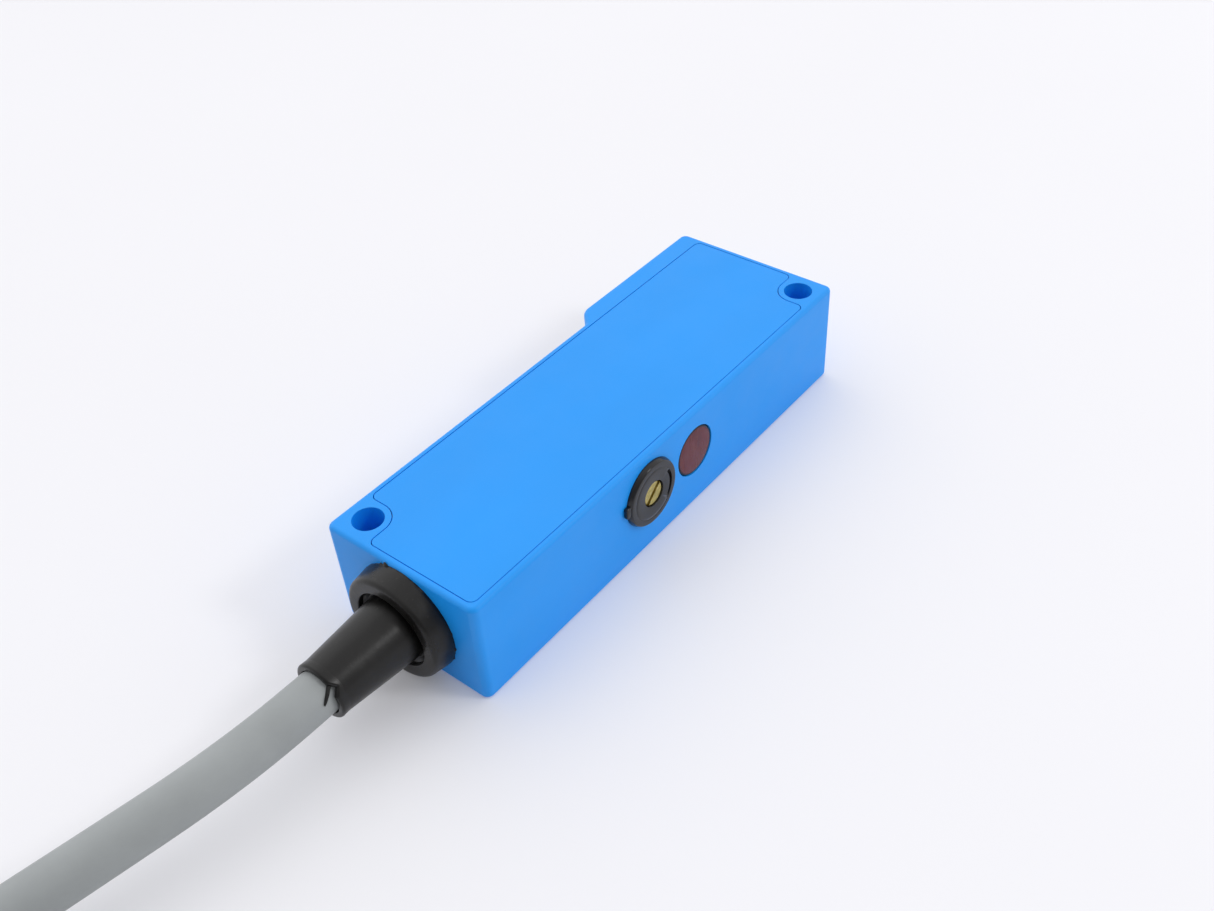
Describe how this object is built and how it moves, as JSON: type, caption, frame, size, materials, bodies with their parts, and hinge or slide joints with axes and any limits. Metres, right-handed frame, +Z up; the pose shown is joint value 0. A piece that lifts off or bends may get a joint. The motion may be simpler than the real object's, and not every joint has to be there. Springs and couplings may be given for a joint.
{
  "type": "photoelectric proximity sensor",
  "caption": "Slim side-looking photoelectric proximity sensor with a flush cover, diagonal mounting holes, a slotted sensitivity adjuster, an indicator window and a fixed cable.",
  "frame": {"origin": "midway between the two mounting holes, on the bottom face", "axes": "+X along the housing from the cable end to the sensing head, +Y the way the sensor looks, +Z up through the cover"},
  "size_m": [0.228, 0.0466, 0.0216],
  "materials": {
    "housing_plastic": "satin moulded blue",
    "cover_plastic": "satin moulded blue, flat",
    "bond_resin": "cured adhesive",
    "window_filter": "polished dark red filter",
    "gasket_rubber": "matt",
    "lens_clear": "polished",
    "holder_black": "matt moulded",
    "led_epoxy": "clear tinted epoxy",
    "diode_epoxy": "polished dark epoxy",
    "board_laminate": "solder mask",
    "tinned_steel": "bright tinned",
    "chip_black": "moulded epoxy",
    "capacitor_can": "brushed can",
    "chip_ceramic": "fired ceramic",
    "tinned_pins": "tinned",
    "bedding_resin": "cured resin",
    "indicator_red": "polished dark red",
    "guide_acrylic": "polished acrylic",
    "lamp_epoxy": "clear epoxy",
    "pot_thermoset": "moulded thermoset",
    "track_cermet": "fired resistive ink",
    "wiper_plastic": "moulded nylon",
    "brass": "turned and slotted",
    "bezel_black": "glossy",
    "seal_rubber": "matt",
    "boot_rubber": "satin rubber",
    "crimp_brass": "tinned brass",
    "sheath_grey": "matt grey sheath",
    "tie_black": "moulded nylon",
    "tinned_copper": "tinned strands",
    "core_brown": "extruded insulation",
    "core_white": "extruded insulation",
    "core_blue": "extruded insulation",
    "core_black": "extruded insulation"
  },
  "bodies": {
    "sensor": {"housing": "housing_plastic", "cover": "cover_plastic", "cover_bond": "bond_resin", "sensing_window": "window_filter", "window_gasket": "gasket_rubber", "emitter_lens": "lens_clear", "receiver_lens": "lens_clear", "optics_holder": "holder_black", "emitter_led": "led_epoxy", "receiver_photodiode": "diode_epoxy", "optics_board": "board_laminate", "main_board": "board_laminate", "shield_can": "tinned_steel", "controller_chip": "chip_black", "output_transistor": "chip_black", "filter_capacitor": "capacitor_can", "board_components": "chip_ceramic", "board_link": "tinned_pins", "solder_posts": "tinned_pins", "resin_bed": "bedding_resin", "indicator_window": "indicator_red", "light_guide": "guide_acrylic", "indicator_leds": "lamp_epoxy", "potentiometer_body": "pot_thermoset", "potentiometer_track": "track_cermet", "adjuster_bezel": "bezel_black", "adjuster_seal": "seal_rubber", "cable_boot": "boot_rubber", "crimp_sleeve": "crimp_brass", "cable_run": "sheath_grey", "cable_hank": "sheath_grey", "cable_tail": "sheath_grey", "hank_ties": "tie_black", "core_tips": "tinned_copper", "inner_core_brown": "core_brown", "far_core_brown": "core_brown", "inner_core_white": "core_white", "far_core_white": "core_white", "inner_core_blue": "core_blue", "far_core_blue": "core_blue", "inner_core_black": "core_black", "far_core_black": "core_black"},
    "adjuster": {"adjuster_shaft": "brass", "potentiometer_wiper": "wiper_plastic"}
  },
  "joints": [
    {"name": "sensitivity_turn", "type": "hinge", "parent": "sensor", "child": "adjuster", "pos_m": [-0.0053, -0.0104, 0.00805], "axis": [0, 1, 0], "range_deg": [-135, 135]}
  ]
}
